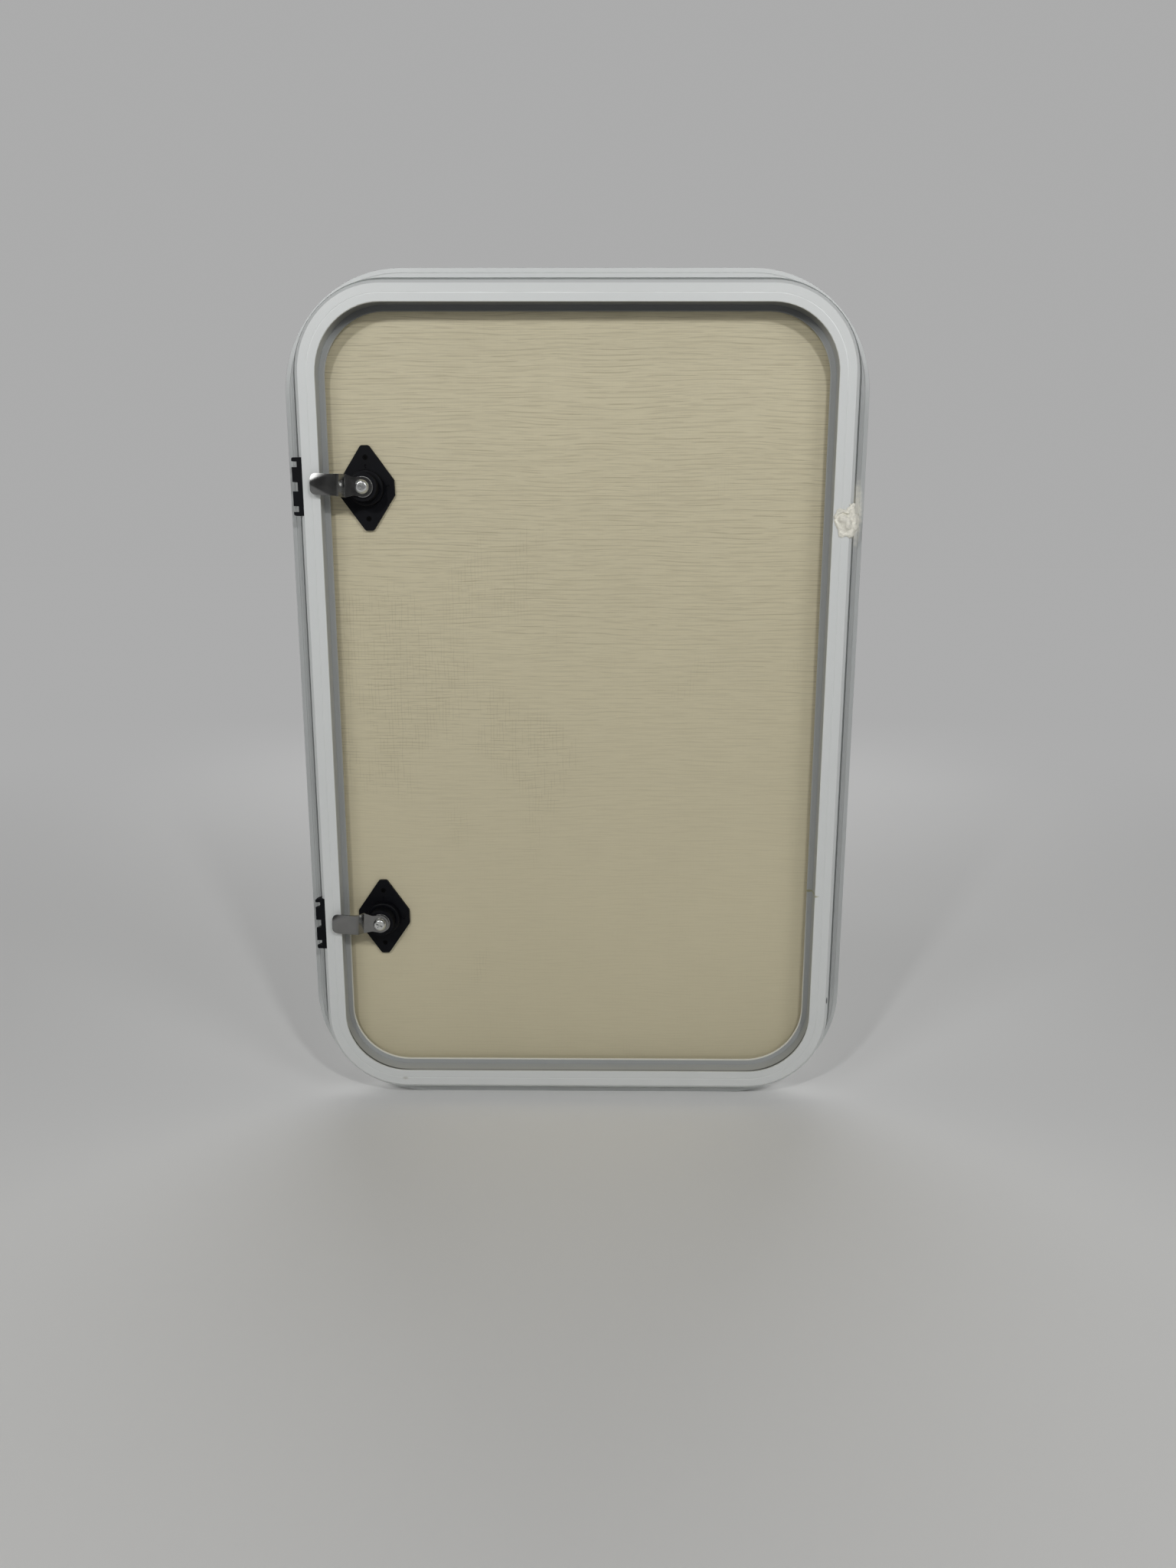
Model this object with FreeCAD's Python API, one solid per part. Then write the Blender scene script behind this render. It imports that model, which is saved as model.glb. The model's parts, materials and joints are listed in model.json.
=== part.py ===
import FreeCAD, Part
import math
import os

# Service hatch for a caravan wall: a bent aluminium frame, an outward opening door on two
# hinges, and two cam locks whose cams reach over the frame's inside face.
# X runs to the right as seen from inside the caravan, Z up, Y outwards through the wall.
# The origin is the middle of the opening, in the plane of the caravan's outer skin,
# on which the frame's flange seats. All lengths are in millimetres.

# Opening between the inner edges of the frame's inside face
opening_width = 440.0
opening_height = 690.0
opening_radius = 57.0

# Frame extrusion
ring_depth = 18.0
face_width = 14.4
edge_bevel = 3.0
edge_bead = 1.4
reveal_inset = 0.9
frame_wall = 1.5
plate_thickness = 2.2
lip_reach = 4.0
lip_round = 0.7
face_line_width = 0.8
face_line_depth = 0.2
edge_break = 0.5

# Flange and outer bezel, which the bending has drawn in at the corners
flange_reach = 30.0
flange_corner_radius = 102.0
flange_edge = 2.6
flange_round = 1.5
flange_line_inset = 4.0
flange_line_depth = 0.4
channel_width = 5.2
channel_depth = 3.0
rebate_reach = 15.5
rebate_round = 0.6
bezel_flat = 11.0
bezel_round = 2.0

# Door
door_reach = 13.0
door_lift = 5.2
door_thickness = 16.2
edge_wall = 1.2
edge_round = 1.6
edge_inner_reach = 1.0
edge_outer_reach = -4.0
bond_gap = 0.1
lining_thickness = 3.0
skin_thickness = 1.0

# Door seal, a strip with two lips that lie on the frame's plate
seal_inset = 1.0
seal_width = 9.5
seal_base = 1.1
seal_lip_width = 2.4
seal_lip_rounding = 0.45
seal_clearance = 0.3

# Hinges
hinge_height = 197.0
hinge_length = 60.0
knuckle_radius = 3.5
knuckle_count = 5
knuckle_gap = 0.3
leaf_thickness = 2.0
door_leaf_width = 22.0
leaf_corner = 2.5
pin_radius = 1.6
pin_fit = 0.05
pin_head_radius = 2.6
pin_head_height = 1.4
pin_head_rounding = 0.9
hinge_screw_spacing = 40.0
hinge_screw_radius = 1.5
hinge_screw_head_radius = 2.7
hinge_screw_length = 9.0

# Locks
lock_inset = 36.0
lock_height = 197.0
lock_plate_width = 48.0
lock_plate_height = 72.4
lock_plate_thickness = 3.0
lock_plate_side_flat = 13.2
lock_plate_end_flat = 7.2
lock_plate_round = 2.5
upper_plate_lean = 1.5
plate_notch_height = 19.0
plate_notch_radius = 1.0
plate_notch_length = 2.4
collar_radius = 15.5
collar_height = 7.5
collar_round = 1.6
body_radius = 12.0
body_fit = 0.15
body_end_gap = 0.3
escutcheon_radius = 24.0
escutcheon_height = 4.5
escutcheon_taper = 1.5
escutcheon_round = 2.0
barrel_radius = 8.8
barrel_fit = 0.08
barrel_head_radius = 10.6
barrel_head_height = 2.4
barrel_head_round = 0.8
barrel_head_gap = 0.05
barrel_shoulder = 0.5
key_slot_length = 8.0
key_slot_width = 1.6
key_slot_depth = 6.0
side_recess_offset = 18.5
side_recess_radius = 2.1
side_recess_depth = 1.0
lock_screw_offset = 26.0
lock_screw_radius = 1.3
lock_screw_head_radius = 2.3
lock_screw_length = 11.0

# Cams
cam_thickness = 2.5
cam_crank = 7.0
cam_length = 43.0
cam_head_radius = 8.4
cam_waist_at = 7.0
cam_waist_width = 15.2
cam_bend_start = 14.6
cam_bend_end = 19.4
cam_bend_width = 19.4
cam_tip_width = 18.0
cam_shoulder = 3.0
cam_head_round = 1.0
cam_waist_round = 5.0
cam_bend_round = 3.5
cam_shoulder_round = 8.0
cam_tip_round = 4.5
cam_outer_fold = 3.0
cam_inner_fold = 1.2
cam_facet_length = 17.0
cam_facet_drop = 1.7
cam_rest_tilt = 3.0
cam_square = 8.0
cam_square_fit = 0.06
cam_square_recess = 0.2

# Cam screws
cam_screw_radius = 3.0
cam_screw_fit = 0.05
cam_screw_length = 12.0
cam_screw_head_radius = 6.0
cam_screw_head_height = 3.6
cam_screw_crown = 0.72
cam_screw_crown_round = 2.0
cam_screw_edge = 1.4
cam_screw_point = 1.0
cross_length = 6.4
cross_width = 1.2
cross_depth = 2.0
cross_turn = 25.0

# Cross recesses of the countersunk screws, as shares of the head, shank and cone
recess_length = 1.1
recess_width = 0.3
recess_depth = 0.6

# Toothed clips on the outer wall of the frame, beside the locks
clip_depth = 12.0
clip_front_gap = 0.3
clip_strip = 1.6
clip_tooth_reach = 4.4
clip_tooth_tip = 1.8
clip_small_tooth = 3.2
clip_wide_tooth = 12.2
clip_side_gap = 4.9
clip_middle_gap = 7.8
clip_tooth_round = 1.6
clip_root_overlap = 0.5

# Lump of hardened sealant over the frame's face and outer edge
sealant_height = 170.0
sealant_middle = 3.9
sealant_radius = 9.6
sealant_proud = 2.6
sealant_depth = 8.0
sealant_blob_radius = 4.4
sealant_blob_proud = 1.9
sealant_taper = 0.6

# How far a cutting shape runs past what it cuts
cut_margin = 1.0

half_width = opening_width / 2
half_height = opening_height / 2
ring_reach = face_width + edge_bevel
door_outside = door_lift + door_thickness
lining_face = door_lift + edge_wall
skin_face = door_outside - edge_wall
hinge_x = half_width + (door_reach + rebate_reach) / 2
hinge_y = door_outside + knuckle_radius
lock_x = lock_inset - half_width
plate_face = lining_face - lock_plate_thickness
cam_front = -ring_depth
cam_back = cam_front + cam_thickness
body_end = cam_back + body_end_gap
panel_reach = door_reach - edge_wall - bond_gap
flange_bend_radius = flange_corner_radius - flange_reach
bezel_end = rebate_reach + bezel_flat
bezel_lean = (flange_reach - bezel_end) / (door_outside - flange_edge)

OUTWARDS = FreeCAD.Vector(0, 1, 0)
UP = FreeCAD.Vector(0, 0, 1)


def point(x, y, z):
    return FreeCAD.Vector(x, y, z)


def rounded_polygon(corners, place):
    """Closed wire through corners given as (a, b, radius), each radius rounding its corner."""
    count = len(corners)
    starts, ends, middles = [], [], []
    for index, (a, b, radius) in enumerate(corners):
        here = FreeCAD.Vector(a, b, 0)
        before = FreeCAD.Vector(*corners[index - 1][:2], 0) - here
        after = FreeCAD.Vector(*corners[(index + 1) % count][:2], 0) - here
        before.normalize()
        after.normalize()
        half_turn = before.getAngle(after) / 2
        reach = radius / math.tan(half_turn)
        starts.append(here + before * reach)
        ends.append(here + after * reach)
        bisector = before + after
        if radius > 0:
            bisector.normalize()
            middles.append(here + bisector * (radius / math.sin(half_turn) - radius))
        else:
            middles.append(None)
    edges = []
    for index in range(count):
        start, middle, end = starts[index], middles[index], ends[index]
        if middle is not None:
            edges.append(Part.Arc(place(start), place(middle), place(end)).toShape())
        following = starts[(index + 1) % count]
        if (following - end).Length > 1e-6:
            edges.append(Part.LineSegment(place(end), place(following)).toShape())
    return Part.Wire(edges)


def sharp(*corners):
    return [(a, b, 0) for a, b in corners]


def along_z(corners, bottom, top):
    """Prism of an outline given in X and Y, from one height to another."""
    wire = rounded_polygon(corners, lambda p: point(p.x, p.y, bottom))
    return Part.Face(wire).extrude(UP * (top - bottom))


def along_y(corners, inside, outside):
    """Prism of an outline given in X and Z, from one depth to another."""
    wire = rounded_polygon(corners, lambda p: point(p.x, inside, p.y))
    return Part.Face(wire).extrude(OUTWARDS * (outside - inside))


def turned_about_y(corners, x, z):
    """Solid of revolution about a line along Y, from an outline given as radius and depth."""
    wire = rounded_polygon(corners, lambda p: point(x + p.x, p.y, z))
    return Part.Face(wire).revolve(point(x, 0, z), OUTWARDS, 360)


def rod_y(radius, inside, outside, x, z):
    return Part.makeCylinder(radius, outside - inside, point(x, inside, z), OUTWARDS)


def rod_z(radius, bottom, top, x, y):
    return Part.makeCylinder(radius, top - bottom, point(x, y, bottom), UP)


def ring_section(outline, height):
    return Part.Face(rounded_polygon(outline, lambda p: point(half_width + p.x, p.y, height)))


def bent_ring(outline, chamber=None, radius=opening_radius):
    """An extrusion bent round the opening. Its section is given as (reach, depth, radius),
    where reach runs outwards from the opening's edge and depth runs along Y. The bend radius
    is that of the line at reach 0."""
    straight_top = half_height - radius
    centre_x = half_width - radius
    section = ring_section(outline, straight_top)
    if chamber:
        section = section.cut(ring_section(chamber, straight_top)).Faces[0]
    side = section.extrude(UP * (-2 * straight_top))
    corner = section.revolve(point(centre_x, 0, straight_top), -OUTWARDS, 90)
    turned = section.rotated(point(centre_x, 0, straight_top), -OUTWARDS, 90)
    top = turned.extrude(point(-2 * centre_x, 0, 0))
    turned.translate(point(-2 * centre_x, 0, 0))
    second_corner = turned.revolve(point(-centre_x, 0, straight_top), -OUTWARDS, 90)
    half = [side, corner, top, second_corner]
    other_half = [piece.rotated(point(0, 0, 0), OUTWARDS, 180) for piece in half]
    return side.multiFuse(half[1:] + other_half).removeSplitter()


def rounded_slab(reach, inside, outside):
    """Flat panel whose edge lies the given reach outside the opening's edge."""
    width, height, radius = half_width + reach, half_height + reach, opening_radius + reach
    corners = [(width, height, radius), (-width, height, radius),
               (-width, -height, radius), (width, -height, radius)]
    return along_y(corners, inside, outside)


def reveal_ring():
    """Inside face with its bead and bevel, reveal, lip plate and the wall beside the door."""
    line_middle = face_width / 2
    line_half = face_line_width / 2
    outline = [
        (0, -ring_depth, edge_break),
        (line_middle - line_half, -ring_depth, 0),
        (line_middle, face_line_depth - ring_depth, 0),
        (line_middle + line_half, -ring_depth, 0),
        (face_width, -ring_depth, 0),
        (ring_reach, edge_bevel - ring_depth, 0),
        (ring_reach, door_outside, 0),
        (rebate_reach, door_outside, rebate_round),
        (rebate_reach, plate_thickness, 0),
        (-lip_reach, plate_thickness, lip_round),
        (-lip_reach, 0, lip_round),
        (reveal_inset, 0, 0),
        (reveal_inset, edge_bead - ring_depth, 0),
        (0, edge_bead - ring_depth, 0),
    ]
    bevel_corner = frame_wall * math.tan(math.radians(22.5))
    chamber = sharp(
        (reveal_inset + frame_wall, frame_wall - ring_depth),
        (face_width - bevel_corner, frame_wall - ring_depth),
        (ring_reach - frame_wall, edge_bevel - ring_depth + bevel_corner),
        (ring_reach - frame_wall, 0),
        (reveal_inset + frame_wall, 0))
    return bent_ring(outline, chamber)


def bezel_inner_reach(depth):
    """Reach of the bezel's inner surface, behind its leaning outer wall."""
    top_reach = bezel_end - frame_wall * math.hypot(1, bezel_lean)
    return top_reach + bezel_lean * (door_outside - depth)


def flange_ring():
    """Flange and hollow outer bezel. They follow the flange's own corner radius outside and
    the reveal's inside, and a channel runs round the foot of the reveal's wall."""
    flange_line = flange_reach - flange_line_inset
    inner_reach = rebate_reach + rebate_round
    outline = [
        (inner_reach, 0, 0),
        (flange_line - flange_line_depth, 0, 0),
        (flange_line, flange_line_depth, 0),
        (flange_line + flange_line_depth, 0, 0),
        (flange_reach, 0, edge_break),
        (flange_reach, flange_edge, flange_round),
        (bezel_end, door_outside, bezel_round),
        (inner_reach, door_outside, 0),
    ]
    bezel_top = door_outside - frame_wall
    hollow = bent_ring(sharp(
        (rebate_reach, plate_thickness),
        (bezel_inner_reach(plate_thickness), plate_thickness),
        (bezel_inner_reach(bezel_top), bezel_top),
        (rebate_reach, bezel_top)), radius=flange_bend_radius)
    channel_end = ring_reach + channel_width
    channel_floor = rounded_slab(channel_end + frame_wall, -cut_margin, channel_depth + frame_wall)
    hollow = hollow.cut([rounded_slab(ring_reach, -cut_margin, door_outside + cut_margin), channel_floor])
    channel = bent_ring(sharp((ring_reach, -cut_margin), (channel_end, -cut_margin),
                              (channel_end, channel_depth), (ring_reach, channel_depth)))
    door_space = rounded_slab(inner_reach, plate_thickness, door_outside + cut_margin)
    return bent_ring(outline, radius=flange_bend_radius).cut([door_space, hollow, channel])


def frame():
    return reveal_ring().fuse(flange_ring()).removeSplitter()


def door_edge_profile():
    """Channel bent round the door, holding the edge of the bonded panel."""
    outline = [
        (edge_inner_reach, door_lift, 0),
        (door_reach, door_lift, edge_round),
        (door_reach, door_outside, edge_round),
        (edge_outer_reach, door_outside, edge_break),
        (edge_outer_reach, skin_face, 0),
        (door_reach - edge_wall, skin_face, 0),
        (door_reach - edge_wall, lining_face, 0),
        (edge_inner_reach, lining_face, 0),
    ]
    return bent_ring(outline)


def door_seal():
    """Strip on the door's edge profile, with two lips towards the frame's plate."""
    start = edge_inner_reach + seal_inset
    end = start + seal_width
    base = door_lift - seal_base
    tip = plate_thickness + seal_clearance
    tip_round = seal_lip_rounding * seal_lip_width
    outline = [
        (start, door_lift, 0),
        (end, door_lift, 0),
        (end, tip, tip_round),
        (end - seal_lip_width, tip, tip_round),
        (end - seal_lip_width, base, 0),
        (start + seal_lip_width, base, 0),
        (start + seal_lip_width, tip, tip_round),
        (start, tip, tip_round),
    ]
    return bent_ring(outline)


def lock_heights():
    return {"upper": lock_height, "lower": -lock_height}


def lock_screw_places(z):
    """Middles of the two screws of a lock plate, which turn with the plate's lean."""
    lean = math.radians(plate_lean(z))
    return [(lock_x - side * lock_screw_offset * math.sin(lean),
             z + side * lock_screw_offset * math.cos(lean)) for side in (-1, 1)]


def plate_lean(z):
    """Degrees that a lock plate leans to the left: the upper one is a little askew."""
    return upper_plate_lean if z > 0 else 0.0


def panel_sheet(inside, outside):
    """One layer of the door panel, with round holes for the two lock bodies."""
    sheet = rounded_slab(panel_reach, inside, outside)
    for height in lock_heights().values():
        hole = rod_y(body_radius + body_fit, inside - cut_margin, outside + cut_margin, lock_x, height)
        sheet = sheet.cut([hole] + [lock_screw_hole(x, z) for x, z in lock_screw_places(height)])
    return sheet


def lock_screw_hole(x, z):
    return rod_y(lock_screw_radius, plate_face - cut_margin, plate_face + lock_screw_length, x, z)


def door_lining():
    return panel_sheet(lining_face, lining_face + lining_thickness)


def door_core():
    return panel_sheet(lining_face + lining_thickness, skin_face - skin_thickness)


def door_skin():
    return panel_sheet(skin_face - skin_thickness, skin_face)


def countersunk_screw(x, z, head_face, length, radius, head_radius, towards):
    """Screw along Y whose flat head lies flush in a face; towards is +1 outwards, -1 inwards."""
    cone = head_radius - radius
    outline = sharp((0, 0), (head_radius, 0), (radius, towards * cone),
                    (radius, towards * (length - radius)), (0, towards * length))
    screw = turned_about_y([(a, head_face + b, c) for a, b, c in outline], x, z)
    return screw.cut(cross_recess(x, z, head_face, recess_length * head_radius, recess_width * radius,
                                  recess_depth * cone, towards))


def cross_recess(x, z, face, length, width, depth, towards):
    """Cross cut into a screw head that lies in the given face."""
    near, far = sorted((face - towards, face + towards * depth))
    arm = [(x - length / 2, z - width / 2, 0), (x + length / 2, z - width / 2, 0),
           (x + length / 2, z + width / 2, 0), (x - length / 2, z + width / 2, 0)]
    first = along_y(arm, near, far)
    second = first.rotated(point(x, 0, z), OUTWARDS, 90)
    return first.fuse(second)


def knuckle_spans(own_parity):
    """Heights, from the hinge's middle, that the knuckles of one leaf take."""
    pitch = hinge_length / knuckle_count
    spans = []
    for index in range(own_parity, knuckle_count, 2):
        low = -hinge_length / 2 + index * pitch + (knuckle_gap / 2 if index > 0 else 0)
        high = -hinge_length / 2 + (index + 1) * pitch - (knuckle_gap / 2 if index < knuckle_count - 1 else 0)
        spans.append((low, high))
    return spans


def hinge_leaf(middle, side, width, own_parity, bore_radius):
    """Leaf on the outer face; side is +1 on the frame and -1 on the door."""
    near = hinge_x + side * (knuckle_radius + knuckle_gap)
    far = near + side * width
    base = door_outside
    low, high = middle - hinge_length / 2, middle + hinge_length / 2
    corners = [(near, low, 0), (far, low, leaf_corner), (far, high, leaf_corner), (near, high, 0)]
    leaf = along_y(corners, base, base + leaf_thickness)
    for start, end in knuckle_spans(own_parity):
        web = Part.makeBox(abs(near - hinge_x), leaf_thickness, end - start,
                           point(min(near, hinge_x), base, middle + start))
        leaf = leaf.fuse([web, rod_z(knuckle_radius, middle + start, middle + end, hinge_x, hinge_y)])
    leaf = leaf.cut(rod_z(bore_radius, low - cut_margin, high + cut_margin, hinge_x, hinge_y))
    for height in hinge_screw_heights(middle):
        leaf = leaf.cut(hinge_screw_clearance(near + side * width / 2, height))
    return leaf.removeSplitter()


def hinge_screw_heights(middle):
    return [middle - hinge_screw_spacing / 2, middle + hinge_screw_spacing / 2]


def hinge_screw_clearance(x, z):
    """Countersunk hole in a leaf, the same shape as the screw's head and shank."""
    top = door_outside + leaf_thickness
    cone = hinge_screw_head_radius - hinge_screw_radius
    outline = sharp((0, top), (hinge_screw_head_radius, top), (hinge_screw_radius, top - cone),
                    (hinge_screw_radius, door_outside - cut_margin), (0, door_outside - cut_margin))
    return turned_about_y(outline, x, z)


def frame_leaf_width():
    """The frame's leaf ends where the bezel's flat ends."""
    flat_end = half_width + bezel_end - bezel_round / 2
    return flat_end - (hinge_x + knuckle_radius + knuckle_gap)


def hinge_screw_x(side):
    width = frame_leaf_width() if side > 0 else door_leaf_width
    return hinge_x + side * (knuckle_radius + knuckle_gap + width / 2)


def hinge_screws(side):
    """The screws of both hinges on one side, as one group."""
    head_face = door_outside + leaf_thickness
    screws = [countersunk_screw(hinge_screw_x(side), height, head_face, hinge_screw_length,
                                hinge_screw_radius, hinge_screw_head_radius, -1)
              for middle in (hinge_height, -hinge_height)
              for height in hinge_screw_heights(middle)]
    return Part.makeCompound(screws)


def hinge_screw_holes(side):
    deepest = door_outside + leaf_thickness - hinge_screw_length
    return [rod_y(hinge_screw_radius, deepest, door_outside + leaf_thickness, hinge_screw_x(side), height)
            for middle in (hinge_height, -hinge_height)
            for height in hinge_screw_heights(middle)]


def hinge_pin(middle):
    """Pin with a low domed head at each end."""
    half = hinge_length / 2
    top = half + pin_head_height
    dome = pin_head_rounding * pin_head_height
    outline = [(0, -top, 0), (pin_head_radius, -top, dome), (pin_head_radius, -half, 0),
               (pin_radius, -half, 0), (pin_radius, half, 0),
               (pin_head_radius, half, 0), (pin_head_radius, top, dome), (0, top, 0)]
    wire = rounded_polygon(outline, lambda p: point(hinge_x + p.x, hinge_y, middle + p.y))
    return Part.Face(wire).revolve(point(hinge_x, hinge_y, middle), UP, 360)


def lock_plate_outline(z):
    """Rhombus with its four points cut flat."""
    x_far, z_far = lock_plate_width / 2, lock_plate_height / 2
    side, end = lock_plate_side_flat / 2, lock_plate_end_flat / 2
    turns = [(x_far, side), (end, z_far), (-end, z_far), (-x_far, side),
             (-x_far, -side), (-end, -z_far), (end, -z_far), (x_far, -side)]
    return [(lock_x + a, z + b, lock_plate_round) for a, b in turns]


def lock_plate(z):
    """Inside plate of a lock, with its raised collar round the lock body."""
    plate = along_y(lock_plate_outline(z), plate_face, lining_face)
    collar_top = plate_face - collar_height
    collar = turned_about_y([(0, plate_face + cut_margin, 0), (collar_radius, plate_face + cut_margin, 0),
                             (collar_radius, collar_top, collar_round), (0, collar_top, 0)], lock_x, z)
    plate = plate.fuse(collar)
    bore = rod_y(body_radius + body_fit, collar_top - cut_margin, lining_face + cut_margin, lock_x, z)
    recesses = [rod_y(side_recess_radius, plate_face - cut_margin, plate_face + side_recess_depth,
                      lock_x + side * side_recess_offset, z) for side in (-1, 1)]
    plate = plate.cut([bore, plate_notch(z)] + recesses)
    plate = plate.removeSplitter().rotated(point(lock_x, 0, z), OUTWARDS, -plate_lean(z))
    return plate.cut([lock_screw_seat(x, height) for x, height in lock_screw_places(z)])


def plate_notch(z):
    """Shallow mark shaped like a keyhole between the collar and the upper screw."""
    top = z + plate_notch_height
    near, far = plate_face - cut_margin, plate_face + side_recess_depth
    half = plate_notch_radius / 2
    slot = along_y(sharp((lock_x - half, top - plate_notch_length), (lock_x + half, top - plate_notch_length),
                         (lock_x + half, top), (lock_x - half, top)), near, far)
    return rod_y(plate_notch_radius, near, far, lock_x, top).fuse(slot)


def lock_screw_seat(x, z):
    cone = lock_screw_head_radius - lock_screw_radius
    outline = sharp((0, plate_face), (lock_screw_head_radius, plate_face),
                    (lock_screw_radius, plate_face + cone), (lock_screw_radius, lining_face + cut_margin),
                    (0, lining_face + cut_margin))
    return turned_about_y(outline, x, z)


def lock_plate_screws():
    """The four small screws of the two inside plates, as one group."""
    screws = [countersunk_screw(x, z, plate_face, lock_screw_length,
                                lock_screw_radius, lock_screw_head_radius, 1)
              for height in lock_heights().values() for x, z in lock_screw_places(height)]
    return Part.makeCompound(screws)


def lock_housing(z):
    """Outer escutcheon and the body that runs through the door to the inside."""
    rim = skin_face + escutcheon_height
    outline = [(0, skin_face, 0), (escutcheon_radius, skin_face, 0),
               (escutcheon_radius - escutcheon_taper, rim, escutcheon_round), (0, rim, 0)]
    housing = turned_about_y(outline, lock_x, z).fuse(rod_y(body_radius, body_end, rim - cut_margin, lock_x, z))
    bore = rod_y(barrel_radius + barrel_fit, body_end - cut_margin, rim + cut_margin, lock_x, z)
    head_seat = rod_y(barrel_head_radius + barrel_fit, rim - barrel_head_height, rim + cut_margin, lock_x, z)
    return housing.cut([bore, head_seat]).removeSplitter()


def lock_barrel(z):
    """Turning barrel: key end outside, square end for the cam inside."""
    rim = skin_face + escutcheon_height
    barrel = rod_y(barrel_radius, cam_back, rim - barrel_shoulder, lock_x, z)
    head_start = rim - barrel_head_height + barrel_head_gap
    head = turned_about_y([(0, head_start, 0), (barrel_head_radius, head_start, 0),
                           (barrel_head_radius, rim, barrel_head_round), (0, rim, 0)], lock_x, z)
    square_half = cam_square / 2 - cam_square_fit
    square = Part.makeBox(2 * square_half, cam_thickness - cam_square_recess, 2 * square_half,
                          point(lock_x - square_half, cam_front + cam_square_recess, z - square_half))
    square = square.rotated(point(lock_x, 0, z), OUTWARDS, cam_rest_tilt)
    slot = Part.makeBox(key_slot_length, key_slot_depth + cut_margin, key_slot_width,
                        point(lock_x - key_slot_length / 2, rim - key_slot_depth, z - key_slot_width / 2))
    thread = rod_y(cam_screw_radius + cam_screw_fit, cam_front - cut_margin,
                   cam_front + cam_screw_length + cut_margin, lock_x, z)
    return barrel.fuse([head, square]).cut([slot, thread]).removeSplitter()


def cam_outline():
    """Outline of the flat cam, from the screw at the origin to its tip along -X."""
    waist, bend, tip = cam_waist_width / 2, cam_bend_width / 2, cam_tip_width / 2
    upper = [(0, cam_head_radius, cam_head_round), (-cam_waist_at, waist, cam_waist_round),
             (-cam_bend_start, bend, cam_bend_round), (-cam_bend_end - cam_shoulder, tip, cam_shoulder_round),
             (-cam_length, tip, cam_tip_round)]
    lower = [(a, -b, r) for a, b, r in reversed(upper)]
    return upper + lower


def lock_cam(z):
    """Cranked steel cam: its tip stands nearer to the room than its screwed end, clear of
    the frame's face, and carries two sloping facets."""
    front, back = cam_front, cam_back
    head_end, tip_end = cam_head_radius + cut_margin, -cam_length - cut_margin
    side_view = [
        (head_end, back, 0), (-cam_bend_start, back, cam_outer_fold),
        (-cam_bend_end, back - cam_crank, cam_inner_fold), (tip_end, back - cam_crank, 0),
        (tip_end, front - cam_crank, 0), (-cam_bend_end, front - cam_crank, cam_outer_fold),
        (-cam_bend_start, front, cam_inner_fold), (head_end, front, 0),
    ]
    cam = along_z(side_view, -cam_bend_width, cam_bend_width)
    lowest, highest = front - cam_crank - cut_margin, back + cut_margin
    shadow = along_y(cam_outline(), lowest, highest)
    shadow = shadow.fuse(rod_y(cam_head_radius, lowest, highest, 0, 0))
    cam = cam.common(shadow).removeSplitter()
    cam = cam.cut([cam_facet(1), cam_facet(-1)])
    half = cam_square / 2
    hole = Part.makeBox(2 * half, cam_thickness + 2 * cut_margin, 2 * half,
                        point(-half, front - cut_margin, -half))
    cam = cam.cut(hole)
    cam.rotate(point(0, 0, 0), OUTWARDS, cam_rest_tilt)
    cam.translate(point(lock_x, 0, z))
    return cam


def cam_facet(side):
    """Wedge above one of the tip's sloping facets; side is +1 for the upper one."""
    surface = cam_front - cam_crank
    ridge_end = point(-cam_length, surface, 0)
    ridge_start = point(cam_facet_length - cam_length, surface, side * cam_tip_width / 2)
    corner = point(-cam_length, surface + cam_facet_drop, side * cam_tip_width / 2)
    across = (ridge_start - ridge_end).normalize()
    down = (corner - ridge_end)
    normal = across.cross(down).normalize()
    if normal.y > 0:
        normal = -normal
    far = 2 * cam_length
    outer = (down - across * down.dot(across)).normalize()
    quad = [ridge_end - across * far, ridge_end + across * far,
            ridge_end + across * far + outer * far, ridge_end - across * far + outer * far]
    return Part.Face(Part.makePolygon(quad + quad[:1])).extrude(normal * 2 * cam_crank)


def cam_screw(z):
    """Pan head screw that holds the cam to its barrel."""
    top = cam_front - cam_screw_head_height
    end = cam_front + cam_screw_length
    outline = [(0, top, 0), (cam_screw_crown * cam_screw_head_radius, top, cam_screw_crown_round),
               (cam_screw_head_radius, cam_front - cam_screw_edge, cam_screw_edge),
               (cam_screw_head_radius, cam_front, 0), (cam_screw_radius, cam_front, 0),
               (cam_screw_radius, end - cam_screw_point, 0), (cam_screw_radius - cam_screw_point, end, 0),
               (0, end, 0)]
    screw = turned_about_y(outline, lock_x, z)
    cross = cross_recess(lock_x, z, top, cross_length, cross_width, cross_depth, 1)
    return screw.cut(cross.rotated(point(lock_x, 0, z), OUTWARDS, cross_turn))


def toothed_clip(z):
    """Comb of tapered teeth on a strip that lies round the frame's bevelled outer edge."""
    front = clip_front_gap - ring_depth
    back = front + clip_depth
    edge = -(half_width + face_width)
    wall = -(half_width + ring_reach)
    root = wall - clip_strip
    tip = root - clip_tooth_reach
    length = 2 * (clip_small_tooth + clip_side_gap + clip_wide_tooth) + clip_middle_gap
    strip_outline = sharp((edge - clip_front_gap, front), (root, front), (root, back), (wall, back),
                          (wall, edge_bevel - ring_depth))
    clip = along_z(strip_outline, z - length / 2, z + length / 2)
    inside_strip = root + clip_root_overlap
    tooth_outline = sharp((inside_strip, front), (tip, front), (tip, front + clip_tooth_tip),
                          (inside_strip, back))
    for low, high, outer_end in clip_teeth(length):
        tooth = along_z(tooth_outline, z + low, z + high)
        if outer_end:
            tooth = tooth.common(along_y(rounded_end(tip, root, z, outer_end, length),
                                         front - cut_margin, back + cut_margin))
        clip = clip.fuse(tooth)
    return clip.removeSplitter()


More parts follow.
